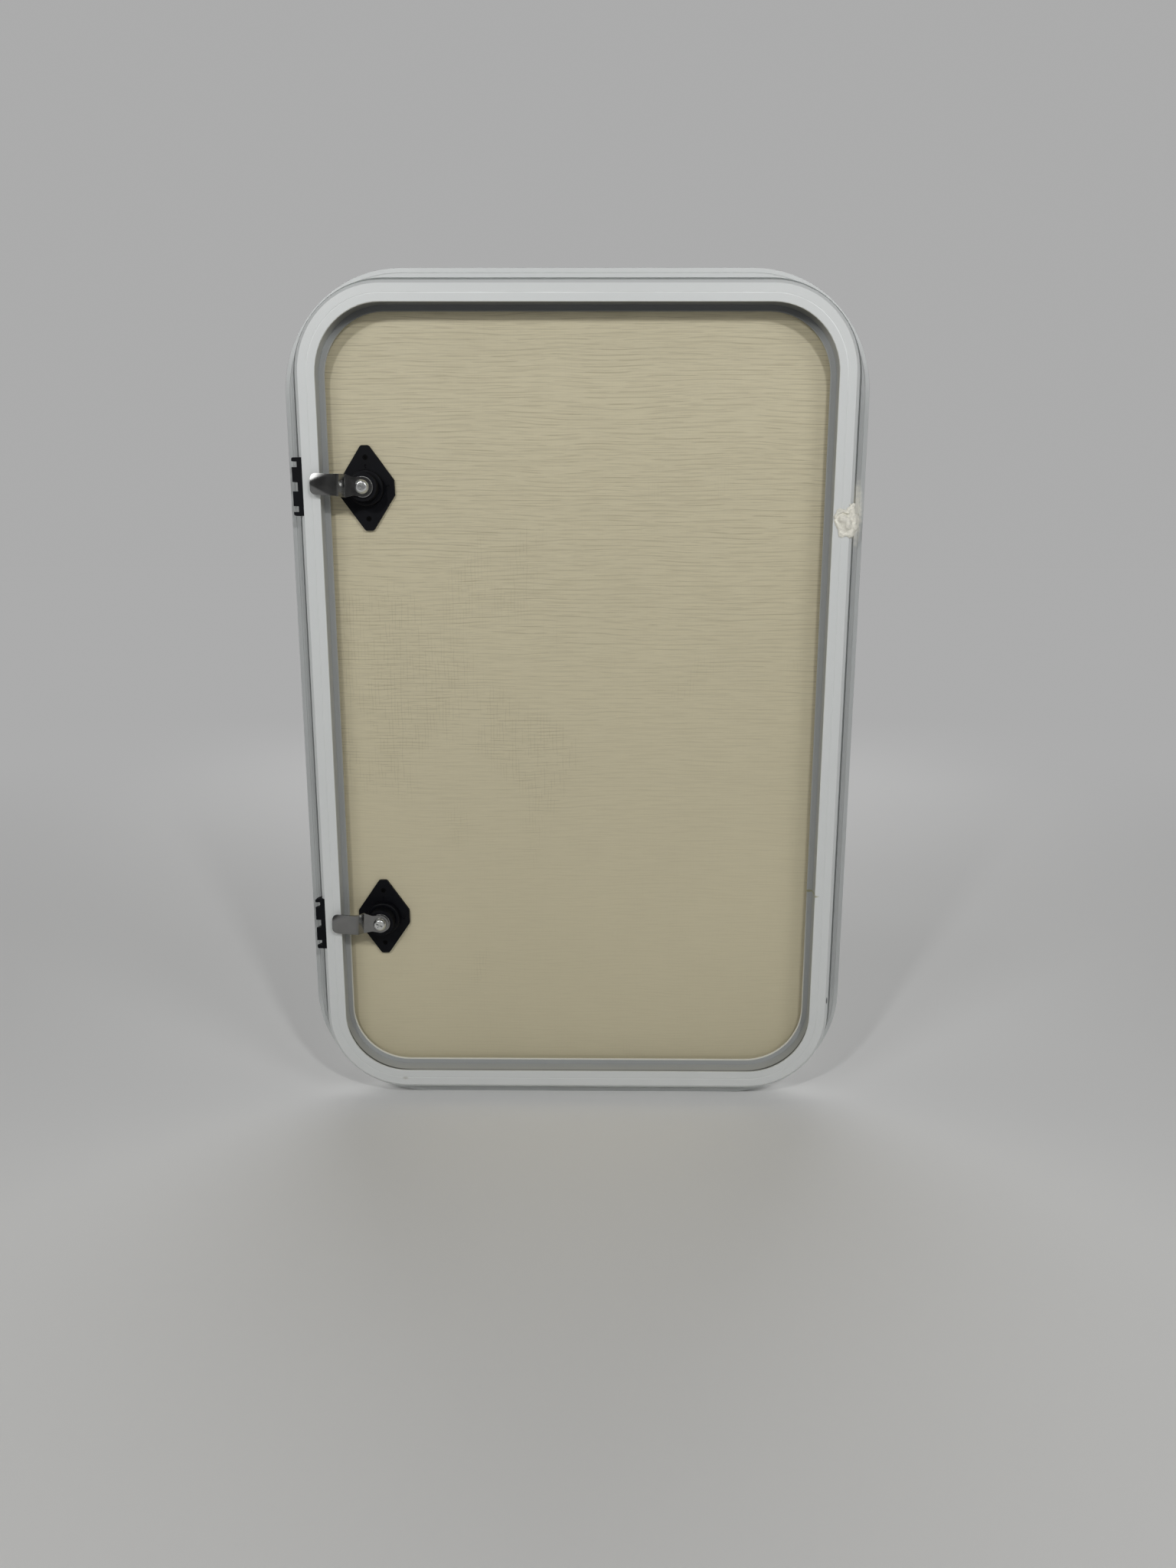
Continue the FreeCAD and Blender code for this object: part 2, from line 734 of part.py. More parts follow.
def clip_teeth(length):
    """Each tooth's lowest and highest point, and the sign of the end that it rounds off."""
    small_end = length / 2 - clip_small_tooth
    wide_end = small_end - clip_side_gap
    wide_start = wide_end - clip_wide_tooth
    return [(small_end, length / 2, 1), (wide_start, wide_end, 0),
            (-wide_end, -wide_start, 0), (-length / 2, -small_end, -1)]


def rounded_end(tip, root, z, sign, length):
    """Outline, in X and Z, that rounds the outer corner of an end tooth."""
    corner = z + sign * length / 2
    inner = root + cut_margin
    return [(tip, corner, clip_tooth_round), (inner, corner, 0), (inner, z, 0), (tip, z, 0)]


def sealant_blob(x, z, radius, proud, depth):
    """Low dome on the frame's face, which goes on down past its outer edge as a tapering drop."""
    face = -ring_depth
    ball_radius = (radius ** 2 + proud ** 2) / (2 * proud)
    ball = Part.makeSphere(ball_radius, point(x, face - proud + ball_radius, z))
    dome = ball.common(rod_y(radius, face - proud - cut_margin, face, x, z))
    drop = Part.makeCone(radius, sealant_taper * radius, depth, point(x, face, z), OUTWARDS)
    return dome.fuse(drop)


def sealant_lump():
    """Uneven lump across the frame's face, over its bevel and down its wall."""
    outer = half_width + ring_reach
    middle = outer - sealant_radius + sealant_middle - sealant_blob_radius / 2
    blob = (sealant_blob_radius, sealant_blob_proud)
    rise, edge = sealant_radius, outer - sealant_proud / 2
    blobs = [
        (middle, 0, sealant_radius, sealant_proud, sealant_depth),
        (middle - blob[0], rise - blob[1], *blob, sealant_depth / 2),
        (middle + blob[0], rise, *blob, sealant_depth),
        (middle - blob[1], -rise, *blob, sealant_depth / 2),
        (edge - blob[1], -rise, *blob, sealant_depth),
        (edge, blob[0], *blob, sealant_depth),
        (edge, -blob[0], *blob, sealant_depth),
        (edge, rise + blob[0], blob[0] / 2, blob[1], sealant_depth / 2),
    ]
    solids = [sealant_blob(x, sealant_height + z, *rest) for x, z, *rest in blobs]
    lump = solids[0].fuse(solids[1:])
    frame_bulk = bent_ring(sharp((-lip_reach, -ring_depth), (face_width, -ring_depth),
                                 (ring_reach, edge_bevel - ring_depth), (ring_reach, plate_thickness),
                                 (-lip_reach, plate_thickness)))
    return lump.cut(frame_bulk).removeSplitter()


def build_nodes():
    """Every separate piece of the hatch, by the name of its node."""
    frame_holes = hinge_screw_holes(1)
    door_holes = hinge_screw_holes(-1)
    nodes = {
        "outer_frame": frame().cut(frame_holes),
        "door_edge_profile": door_edge_profile().cut(door_holes),
        "door_lining": door_lining(),
        "door_core": door_core().cut(door_holes),
        "door_skin": door_skin().cut(door_holes),
        "door_seal": door_seal(),
        "hinge_frame_screws": hinge_screws(1),
        "hinge_door_screws": hinge_screws(-1),
        "lock_plate_screws": lock_plate_screws(),
        "sealant_lump": sealant_lump(),
    }
    for name, height in lock_heights().items():
        nodes[f"{name}_lock_housing"] = lock_housing(height)
        nodes[f"{name}_lock_plate"] = lock_plate(height)
        nodes[f"{name}_lock_barrel"] = lock_barrel(height)
        nodes[f"{name}_lock_cam"] = lock_cam(height)
        nodes[f"{name}_cam_screw"] = cam_screw(height)
        nodes[f"{name}_toothed_clip"] = toothed_clip(height)
    for name, height in {"upper": hinge_height, "lower": -hinge_height}.items():
        nodes[f"{name}_hinge_frame_leaf"] = hinge_leaf(height, 1, frame_leaf_width(), 0, pin_radius + pin_fit)
        nodes[f"{name}_hinge_door_leaf"] = hinge_leaf(height, -1, door_leaf_width, 1, pin_radius + pin_fit)
        nodes[f"{name}_hinge_pin"] = hinge_pin(height)
    return nodes


def write_nodes(nodes):
    os.makedirs("parts", exist_ok=True)
    for name, shape in nodes.items():
        if not shape.isValid():
            raise ValueError(f"{name} is not a valid shape")
        shape.exportStep(f"parts/{name}.step")
        print(f"{name:26s} solids {len(shape.Solids)}  volume {shape.Volume / 1000:9.3f} cm3")


write_nodes(build_nodes())
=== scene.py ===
import json
import math

import bpy
from bpy.props import FloatProperty, FloatVectorProperty, PointerProperty
from mathutils import Euler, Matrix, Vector

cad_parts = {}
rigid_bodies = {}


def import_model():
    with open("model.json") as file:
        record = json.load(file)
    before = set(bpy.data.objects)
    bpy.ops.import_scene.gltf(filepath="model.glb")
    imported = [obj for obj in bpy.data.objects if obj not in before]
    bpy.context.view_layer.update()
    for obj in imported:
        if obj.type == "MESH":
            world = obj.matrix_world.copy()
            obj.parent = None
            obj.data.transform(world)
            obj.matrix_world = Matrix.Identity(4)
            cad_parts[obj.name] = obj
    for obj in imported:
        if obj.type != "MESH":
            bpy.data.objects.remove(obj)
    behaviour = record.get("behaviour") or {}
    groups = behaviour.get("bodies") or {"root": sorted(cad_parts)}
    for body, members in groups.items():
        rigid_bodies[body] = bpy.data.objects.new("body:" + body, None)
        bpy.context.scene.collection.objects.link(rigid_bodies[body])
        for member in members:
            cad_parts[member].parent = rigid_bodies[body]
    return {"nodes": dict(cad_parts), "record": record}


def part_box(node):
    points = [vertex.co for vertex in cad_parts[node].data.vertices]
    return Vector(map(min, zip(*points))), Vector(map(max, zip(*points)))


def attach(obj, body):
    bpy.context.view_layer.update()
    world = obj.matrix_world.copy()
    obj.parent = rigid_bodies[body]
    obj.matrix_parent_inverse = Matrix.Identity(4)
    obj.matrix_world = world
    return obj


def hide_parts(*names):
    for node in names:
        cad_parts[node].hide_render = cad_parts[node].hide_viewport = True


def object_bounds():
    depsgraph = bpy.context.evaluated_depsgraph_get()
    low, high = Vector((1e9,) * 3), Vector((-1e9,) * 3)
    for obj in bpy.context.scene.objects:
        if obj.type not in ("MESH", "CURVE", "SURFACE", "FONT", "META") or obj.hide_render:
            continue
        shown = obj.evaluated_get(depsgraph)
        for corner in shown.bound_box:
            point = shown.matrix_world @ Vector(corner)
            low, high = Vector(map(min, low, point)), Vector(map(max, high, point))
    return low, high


bl_info = {
    "name": "Caravan service hatch",
    "version": (1, 0, 0),
    "blender": (4, 5, 0),
    "location": "3D View > Sidebar > Hatch",
    "description": "Finishes a caravan service hatch: painted frame, lined door, cam locks, hinges and "
                   "marks of use",
    "category": "Object",
}

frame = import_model()
cad_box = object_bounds()

MM = 0.001
SIDES = ("upper", "lower")


def colour(name, description, value):
    """A colour that can be changed in the sidebar."""
    return FloatVectorProperty(name=name, description=description, default=value, subtype="COLOR",
                               size=3, min=0.0, max=1.0)


def length(name, description, value):
    """A length that can be changed in the sidebar."""
    return FloatProperty(name=name, description=description, default=value, unit="LENGTH", min=0.0)


class HatchColours(bpy.types.PropertyGroup):
    """Colours of the hatch's finishes."""
    paint: colour("Frame paint", "White powder coat of the frame", (0.735, 0.755, 0.748))
    skin: colour("Door skin", "White lacquer of the door's outer sheet", (0.78, 0.78, 0.76))
    lining: colour("Lining", "Ground of the door's inside lining", (0.66, 0.60, 0.42))
    thread: colour("Lining thread", "Dark threads of the woven print", (0.36, 0.31, 0.20))
    plastic: colour("Plastic", "Black moulded plastic", (0.0030, 0.0033, 0.0048))
    zinc: colour("Zinc", "Zinc plated steel of the cams", (0.25, 0.25, 0.245))
    screw: colour("Bright screw", "Plated screws", (0.74, 0.75, 0.74))
    cast: colour("Die cast", "Die cast lock barrels", (0.55, 0.55, 0.54))
    hinge: colour("Hinge steel", "Satin steel of the hinges", (0.66, 0.66, 0.65))
    dark_screw: colour("Dark screw", "Blackened screws of the lock plates", (0.006, 0.006, 0.006))
    sealant: colour("Sealant", "Hardened sealant", (0.95, 0.925, 0.82))
    foam: colour("Foam", "Foam core of the door", (0.70, 0.74, 0.72))
    rubber: colour("Rubber", "Door seal", (0.020, 0.020, 0.021))


class HatchSizes(bpy.types.PropertyGroup):
    """Sizes of what finishes the pieces."""
    edge: length("Broken edge", "Width of the round that breaks the edges of the small pieces", 0.22 * MM)
    thread_pitch: length("Thread pitch", "Distance between the print's heavy threads", 4.3 * MM)
    weave_pitch: length("Weave pitch", "Distance between the print's fine threads", 2.9 * MM)
    sealant_bead: length("Sealant bead", "Radius of the beads that the sealant lump is made of", 1.5 * MM)


class HatchStudio(bpy.types.PropertyGroup):
    """Floor and light of the picture."""
    floor: colour("Floor", "Pale floor", (0.86, 0.86, 0.85))
    horizon: FloatProperty(name="Horizon", description="Grey that is seen past the floor", default=0.41,
                           min=0.0)
    ambient: FloatProperty(name="Ambient", description="Strength of the light from all round", default=0.02,
                           min=0.0)
    lamp_power: FloatProperty(name="Lamps", description="Power that the lamps in front share", default=28.5,
                              min=0.0, unit="POWER")
    back_power: FloatProperty(name="Back lamp", description="Power of the wide soft lamp behind the hatch",
                              default=26.0, min=0.0, unit="POWER")


def colours():
    """The scene's set colours."""
    return bpy.context.scene.hatch_colours


def sizes():
    """The scene's set sizes."""
    return bpy.context.scene.hatch_sizes


def studio():
    """The scene's set light and floor."""
    return bpy.context.scene.hatch_studio


class Value:
    """An output of a node in a material, on which maths is written as on a number."""

    def __init__(self, finish, socket):
        self.finish = finish
        self.socket = socket

    def maths(self, operation, *operands):
        return self.finish.node("ShaderNodeMath", {"operation": operation}, dict(enumerate(operands)))

    def __add__(self, other):
        return self.maths("ADD", self, other)

    def __radd__(self, other):
        return self.maths("ADD", other, self)

    def __sub__(self, other):
        return self.maths("SUBTRACT", self, other)

    def __rsub__(self, other):
        return self.maths("SUBTRACT", other, self)

    def __mul__(self, other):
        return self.maths("MULTIPLY", self, other)

    def __rmul__(self, other):
        return self.maths("MULTIPLY", other, self)

    def __truediv__(self, other):
        return self.maths("DIVIDE", self, other)

    def __rtruediv__(self, other):
        return self.maths("DIVIDE", other, self)

    def __pow__(self, other):
        return self.maths("POWER", self, other)

    def __abs__(self):
        return self.maths("ABSOLUTE", self)

    def floor(self):
        return self.maths("FLOOR", self)

    def at_least(self, other):
        return self.maths("MAXIMUM", self, other)


class Finish:
    """A material being built on the object's own coordinates, in millimetres."""

    def __init__(self, name):
        self.material = bpy.data.materials.new(name)
        self.material.use_nodes = True
        self.tree = self.material.node_tree
        self.tree.nodes.clear()
        self.output = self.tree.nodes.new("ShaderNodeOutputMaterial")
        self.surface = self.tree.nodes.new("ShaderNodeBsdfPrincipled")
        self.tree.links.new(self.surface.outputs[0], self.output.inputs[0])
        place = self.node("ShaderNodeTexCoord", output="Object")
        self.place = self.node("ShaderNodeVectorMath", {"operation": "SCALE"}, {0: place, "Scale": 1 / MM})
        parts = self.tree.nodes.new("ShaderNodeSeparateXYZ")
        self.put(parts.inputs[0], self.place)
        self.x, self.y, self.z = (Value(self, socket) for socket in parts.outputs)

    def put(self, socket, value):
        """Links an output into a socket, or writes a constant there."""
        if isinstance(value, Value):
            self.tree.links.new(value.socket, socket)
        elif hasattr(socket.default_value, "__len__") and hasattr(value, "__len__"):
            spare = len(socket.default_value) - len(value)
            socket.default_value = (*value, *([1.0] * spare))
        else:
            socket.default_value = value

    def node(self, kind, settings=None, inputs=None, output=0):
        """Adds a node, sets it up, joins its inputs and gives one of its outputs."""
        made = self.tree.nodes.new(kind)
        for name, setting in (settings or {}).items():
            setattr(made, name, setting)
        for key, value in (inputs or {}).items():
            self.put(made.inputs[key], value)
        return Value(self, made.outputs[output])

    def set(self, **values):
        """Sets sockets of the surface shader; underscores stand for spaces."""
        for name, value in values.items():
            self.put(self.surface.inputs[name.replace("_", " ").title().replace("Ior", "IOR")], value)

    def stretched(self, x, y, z):
        """Coordinates for a pattern whose features have the given sizes along each axis."""
        return self.node("ShaderNodeVectorMath", {"operation": "DIVIDE"}, {0: self.place, 1: (x, y, z)})

    def noise(self, vector, detail=2.0, distortion=0.0, scale=1.0):
        """Cloudy noise between 0 and 1 over a vector."""
        return self.node("ShaderNodeTexNoise", {"noise_dimensions": "3D"},
                         {"Vector": vector, "Scale": scale, "Detail": detail, "Distortion": distortion},
                         "Fac")

    def step(self, value, low, high, first=0.0, last=1.0):
        """Smooth change from first to last while the value goes from low to high."""
        return self.node("ShaderNodeMapRange", {"interpolation_type": "SMOOTHSTEP", "clamp": True},
                         {"Value": value, "From Min": low, "From Max": high,
                          "To Min": first, "To Max": last})

    def mix(self, factor, first, second):
        """Mix of two colours, from the first at 0 to the second at 1."""
        return self.node("ShaderNodeMix", {"data_type": "RGBA"}, {0: factor, 6: first, 7: second}, 2)

    def spot(self, x, z, across, up, edge, wobble, grain=3.0):
        """Mask of an oval mark seen from inside, 1 in its middle, with an uneven edge."""
        right = (self.x - x) / across
        above = (self.z - z) / up
        far = (right * right + above * above) ** 0.5
        far = far + (self.noise(self.stretched(grain, grain, grain)) - 0.5) * wobble
        return self.step(far, 1.0 - edge, 1.0 + edge, 1.0, 0.0)

    def threads(self, across, along, pitch, width, length, cover, seed=0.0):
        """Mask of thin broken threads, one to each pitch, each a little out of line. Cover raises
        the share of the threads that shows."""
        row = (across / pitch).floor()
        line = self.node("ShaderNodeCombineXYZ", {}, {0: along / length, 1: row * 3.71, 2: seed})
        gap = self.node("ShaderNodeCombineXYZ", {}, {0: along / length, 1: row * 5.37, 2: seed + 20.0})
        middle = (self.noise(line, detail=1.0) - 0.5) * 1.1 + 0.5
        off = abs(across / pitch - row - middle) * pitch
        present = self.step(self.noise(gap, detail=2.0, scale=1.7), 0.5 - cover, 0.62 - cover)
        return self.step(off, 0.35 * width, width, 1.0, 0.0) * present

    def bump(self, height, strength, distance):
        """Normals raised by a height; the distance is in millimetres."""
        return self.node("ShaderNodeBump", {},
                         {"Height": height, "Strength": strength, "Distance": distance * MM})


def clothe(finish, *nodes):
    """Puts a finish on carried-over nodes."""
    for name in nodes:
        piece = frame["nodes"][name]
        for slot in piece.material_slots:
            slot.material = finish.material
        if not piece.material_slots:
            piece.data.materials.append(finish.material)


# The frame's opening in millimetres, from which the paint's masks are measured
OPENING_HALF_WIDTH = 220.0
OPENING_HALF_HEIGHT = 345.0
OPENING_CORNER = 57.0

# Marks of use on the frame: place to the right and up, half sizes across and up, softness of the
# edge, its wobble and the wobble's grain, in millimetres
SEALANT_SMEAR = (243.5, 176.0, 4.4, 23.0, 0.5, 0.9, 4.0)
CORNER_SMUDGE = (-165.5, -352.8, 2.4, 1.2, 0.6, 0.9, 1.5)
BROWN_STAIN = (217.5, -168.6, 5.0, 1.0, 0.5, 0.8)
DARK_NICK = (236.1, -272.0, 0.75, 3.2, 0.3, 0.5, 1.5)

# Painted shade of the reveal, darkest under the top frame and behind the lower corners' bead
REVEAL_PAINTED_SHADE = (0.045, 0.050, 0.052)
# Painted shade of the flange down the sides, where less light falls
FLANGE_PAINTED_SHADE = (0.10, 0.11, 0.115)
# Painted highlight along the face's ridge
RIDGE_PAINTED_HIGHLIGHT = (0.92, 0.94, 0.94)
# Painted highlight on the lip's rounded inner edge
LIP_PAINTED_HIGHLIGHT = (0.92, 0.90, 0.79)
SMUDGE_COLOUR = (0.42, 0.40, 0.35)
STAIN_COLOUR = (0.32, 0.30, 0.12)
NICK_COLOUR = (0.05, 0.055, 0.055)


def reach_from_opening(made):
    """How far a point lies outside the opening's rounded outline; inside, it is negative."""
    over_x = (abs(made.x) - (OPENING_HALF_WIDTH - OPENING_CORNER)).at_least(0.0)
    over_z = (abs(made.z) - (OPENING_HALF_HEIGHT - OPENING_CORNER)).at_least(0.0)
    return (over_x * over_x + over_z * over_z) ** 0.5 - OPENING_CORNER


def painted_reveal_shade_mask(made, reach, face):
    """Painted shade in the reveal: darker all round, darkest along the top under the frame's shadow and in
    the gap behind the bead of the lower corners.
    """
    reveal = made.step(reach, 1.3, 1.7, 1.0, 0.0) * made.step(made.y, face + 1.2, face + 1.8)
    corner = made.step(abs(made.x), 150.0, 185.0, 0.70, 1.0) * made.step(made.z, -288.0, -310.0)
    shadow_behind_bead = made.step(made.y, face + 6.4, face + 5.2, 0.0, 1.0) * made.step(reach, 0.3, 0.6) * corner
    return (reveal * made.step(made.z, 312.0, 338.0, 0.42, 0.86)).at_least(reveal * shadow_behind_bead * 0.97)


def paint_finish():
    """White powder coat: a faint orange peel, painted shade in the reveal and down the flange's sides,
    painted highlights along the face's ridge and the lip's edge, nicks and smudges of use.
    """
    made = Finish("white_frame_paint")
    white = tuple(colours().paint)
    reach = reach_from_opening(made)
    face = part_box("outer_frame")[0].y / MM
    peel = made.noise(made.stretched(1.1, 1.1, 1.1), detail=1.0)
    cloud = made.noise(made.stretched(60, 60, 90), detail=3.0)
    base = made.mix(made.step(cloud, 0.35, 0.7, 0.0, 0.22), white, [0.955 * c for c in white])
    # Painted shade: the flange darker down the sides than at the top and bottom
    flange = made.step(reach, 21.6, 22.6) * made.step(abs(made.z), 250.0, 345.0, 1.0, 0.0)
    base = made.mix(flange * 0.40, base, FLANGE_PAINTED_SHADE)
    # Painted highlight: a light line along the face's ridge near the top, where the light catches it
    ridge = made.step(abs(reach - 6.9), 0.25, 0.6, 1.0, 0.0) * made.step(made.y, face + 1.0, face + 0.5)
    bright = made.step(made.z, 255.0, 325.0) * made.step(cloud, 0.4, 0.6, 0.4, 1.0)
    base = made.mix(ridge * bright, base, RIDGE_PAINTED_HIGHLIGHT)
    # Painted shade: the reveal darkened where shade falls in it
    base = made.mix(painted_reveal_shade_mask(made, reach, face), base, REVEAL_PAINTED_SHADE)
    # Painted highlight: the lip's rounded inner edge lighter and cream along the lower sides and bottom
    lit_lip_edge = made.step(reach, -2.9, -3.3) * made.step(made.z, -150.0, -300.0)
    base = made.mix(lit_lip_edge * 0.75, base, LIP_PAINTED_HIGHLIGHT)
    smear = made.spot(*SEALANT_SMEAR) * made.step(reach, 17.4, 18.4)
    base = made.mix(smear * 0.75, base, tuple(colours().sealant))
    base = made.mix(made.spot(*CORNER_SMUDGE) * 0.5, base, SMUDGE_COLOUR)
    base = made.mix(made.spot(*BROWN_STAIN) * 0.75, base, STAIN_COLOUR)
    base = made.mix(made.spot(*DARK_NICK) * 0.9, base, NICK_COLOUR)
    made.set(base_color=base, roughness=made.step(cloud, 0.3, 0.7, 0.36, 0.46),
             normal=made.bump(peel, 0.12, 0.05))
    made.set(specular_ior_level=0.5)
    return made


def skin_finish():
    """White lacquered sheet, very slightly wavy."""
    made = Finish("white_door_skin")
    white = tuple(colours().skin)
    wave = made.noise(made.stretched(45, 45, 70), detail=1.0)
    fine = made.noise(made.stretched(0.9, 0.9, 0.9), detail=1.0)
    base = made.mix(made.step(wave, 0.2, 0.8, 0.0, 0.3), white, [0.98 * c for c in white])
    made.set(base_color=base, roughness=made.step(wave, 0.2, 0.8, 0.29, 0.32),
             normal=made.bump(wave * 0.4 + fine * 0.05, 0.05, 0.3))
    return made


def lining_finish():
    """Beige lining with a print of loose horizontal threads and a fainter linen weave."""
    made = Finish("beige_lining")
    ground = tuple(colours().lining)
    heavy = sizes().thread_pitch / MM
    fine = sizes().weave_pitch / MM
    slow = made.noise(made.stretched(210, 210, 60), detail=1.0)
    ripple = made.noise(made.stretched(70, 70, 30), detail=1.0)
    risen = made.z + (slow - 0.5) * 14.0 + (ripple - 0.5) * 3.0
    upright = made.x + (ripple - 0.5) * 2.0
    cloud = made.noise(made.stretched(120, 120, 150), detail=2.0)
    patch = made.noise(made.stretched(60, 60, 75), detail=1.0)
    high = made.step(made.z, -260, 220, 0.10, 1.0)
    centre = made.step(made.x, 80, -120, 0.0, 1.0) * made.step(abs(made.z - 40), 190, 60, 0.0, 1.0)
    linen = made.step(patch + centre * 0.30, 0.66, 0.84)
    bold = made.threads(risen, made.x, heavy, 0.62, 62.0, 0.10)
    thin = made.threads(risen + 1.7, made.x, 0.5 * heavy, 0.45, 48.0, 0.05, 4.0)
    weft = made.threads(risen, made.x, fine, 0.5, 30.0, 0.10, 8.0)
    warp = made.threads(upright, made.z, fine, 0.45, 30.0, 0.06, 12.0)
    fibre = made.noise(made.stretched(26.0, 26.0, 0.55), detail=2.0)
    print_mask = (bold * 0.50 * high + thin * 0.36 * high + weft * (linen * 0.34 + 0.10)
                  + warp * (linen * 0.30 + 0.04) + made.step(fibre, 0.42, 0.7) * (high * 0.30 + 0.06))
    print_mask = made.node("ShaderNodeClamp", {}, {0: print_mask})
    base = made.mix(made.step(cloud, 0.3, 0.7, 0.0, 0.5), ground, [0.95 * c for c in ground])
    base = made.mix(print_mask * 0.62, base, tuple(colours().thread))
    made.set(base_color=base, roughness=made.step(cloud, 0.3, 0.7, 0.44, 0.52),
             normal=made.bump(1.0 - print_mask, 0.25, 0.05))
    return made


def plastic_finish():
    """Black moulded plastic with the fine texture of its mould."""
    made = Finish("black_plastic")
    black = tuple(colours().plastic)
    grain = made.noise(made.stretched(0.35, 0.35, 0.35), detail=2.0)
    cloud = made.noise(made.stretched(14, 14, 14), detail=2.0)
    base = made.mix(made.step(cloud, 0.4, 0.75, 0.0, 0.6), black, [1.7 * c for c in black])
    made.set(base_color=base, roughness=made.step(cloud, 0.3, 0.7, 0.40, 0.52),
             normal=made.bump(grain, 0.12, 0.05))
    made.set(specular_ior_level=0.12)
    return made


def steel_finish(name, base_colour, roughness, brushed=0.08):
    """Plated or bare metal: fine lines of rolling and a little staining."""
    made = Finish(name)
    lines = made.noise(made.stretched(9.0, 9.0, 0.25), detail=2.0)
    cloud = made.noise(made.stretched(9.0, 9.0, 9.0), detail=2.0)
    base = made.mix(made.step(cloud, 0.3, 0.75, 0.0, 0.4), base_colour, [0.80 * c for c in base_colour])
    rough = made.step(cloud, 0.3, 0.75, roughness * 0.9, roughness * 1.15)
    made.set(base_color=base, roughness=rough, normal=made.bump(lines, brushed, 0.02))
    made.set(metallic=1.0)
    return made


RUBBER_BLOOM = (0.034, 0.034, 0.034)


def rubber_finish():
    """Matt black rubber with a faint grey bloom."""
    made = Finish("black_rubber")
    cloud = made.noise(made.stretched(6, 6, 6), detail=3.0)
    made.set(base_color=made.mix(cloud, tuple(colours().rubber), RUBBER_BLOOM),
             roughness=made.step(cloud, 0.3, 0.7, 0.65, 0.8), normal=made.bump(cloud, 0.2, 0.1))
    return made


def foam_finish():
    """Rigid foam with fine closed cells."""
    made = Finish("pale_foam")
    cells = made.node("ShaderNodeTexVoronoi", {},
                      {"Vector": made.stretched(1.6, 1.6, 1.6), "Scale": 1.0}, "Distance")
    pale = tuple(colours().foam)
    made.set(base_color=made.mix(made.step(cells, 0.1, 0.7), pale, [0.88 * c for c in pale]),
             roughness=made.step(cells, 0.1, 0.7, 0.8, 0.9), normal=made.bump(cells, 0.4, 0.3))
    return made


def sealant_finish():
    """Hardened sealant, smeared and a little glossy."""
    made = Finish("hard_sealant")
    pale = tuple(colours().sealant)
    smear = made.noise(made.stretched(4.0, 4.0, 2.0), detail=3.0, distortion=1.0)
    made.set(base_color=made.mix(made.step(smear, 0.35, 0.7), pale, [0.78 * c for c in pale]),
             roughness=made.step(smear, 0.3, 0.7, 0.26, 0.42), normal=made.bump(smear, 0.5, 0.5))
    return made


def deselect_all():
    """Goes to object mode with nothing selected."""
    if bpy.context.mode != "OBJECT":
        bpy.ops.object.mode_set(mode="OBJECT")
    bpy.ops.object.select_all(action="DESELECT")


def apply_modifier(piece, kind, **settings):
    """Adds a modifier to the active piece, sets it and applies it."""
    modifier = piece.modifiers.new(kind.lower(), kind)
    for name, value in settings.items():
        setattr(modifier, name, value)
    bpy.ops.object.modifier_apply(modifier=modifier.name)


# Degrees within which faces are one flat face, and below which an edge is shaded smooth
FLAT_WITHIN = 0.5
SMOOTH_BELOW = 34.0
SAME_POINT = 0.002 * MM


def merged_copy(name):
    """A copy of a CAD piece's mesh, merged and with its flat faces whole."""
    deselect_all()
    piece = bpy.data.objects.new(f"finished_{name}", frame["nodes"][name].data.copy())
    bpy.context.scene.collection.objects.link(piece)
    piece.select_set(True)
    bpy.context.view_layer.objects.active = piece
    bpy.ops.mesh.customdata_custom_splitnormals_clear()
    bpy.ops.object.mode_set(mode="EDIT")
    bpy.ops.mesh.select_all(action="SELECT")
    bpy.ops.mesh.remove_doubles(threshold=SAME_POINT)
    bpy.ops.mesh.dissolve_limited(angle_limit=math.radians(FLAT_WITHIN))
    bpy.ops.object.mode_set(mode="OBJECT")
    return piece


def stand_for(piece, name, finish):
    """Gives a finished piece its material, and the body and slot of the CAD piece it stands for."""
    record = frame["record"]
    piece.data.materials.clear()
    piece.data.materials.append(finish.material)
    body = next(body for body, names in record["behaviour"]["bodies"].items() if name in names)
    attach(piece, body)
    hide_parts(name)


def break_edges(name, finish, width=1.0, sharp_from=38.0):
    """Stands in for a CAD piece with a copy whose edges are rounded where they turn by more than
    sharp_from degrees. The width is a share of the broken edge's size."""
    piece = merged_copy(name)
    apply_modifier(piece, "BEVEL", width=width * sizes().edge, segments=2, limit_method="ANGLE",
                   angle_limit=math.radians(sharp_from), miter_outer="MITER_ARC")
    bpy.ops.object.shade_smooth_by_angle(angle=math.radians(SMOOTH_BELOW))
    apply_modifier(piece, "WEIGHTED_NORMAL", keep_sharp=True, weight=100)
    stand_for(piece, name, finish)


class HATCH_OT_frame_paint(bpy.types.Operator):
    """Paint the frame and the door's edge profile"""
    bl_idname = "hatch.frame_paint"
    bl_label = "Frame paint"

    def execute(self, context):
        clothe(paint_finish(), "outer_frame", "door_edge_profile")
        return {"FINISHED"}


class HATCH_OT_door_panel(bpy.types.Operator):
    """Finish the door's lining, core, skin and seal"""
    bl_idname = "hatch.door_panel"
    bl_label = "Door panel"

    def execute(self, context):
        clothe(lining_finish(), "door_lining")
        clothe(foam_finish(), "door_core")
        clothe(skin_finish(), "door_skin")
        clothe(rubber_finish(), "door_seal")
        return {"FINISHED"}


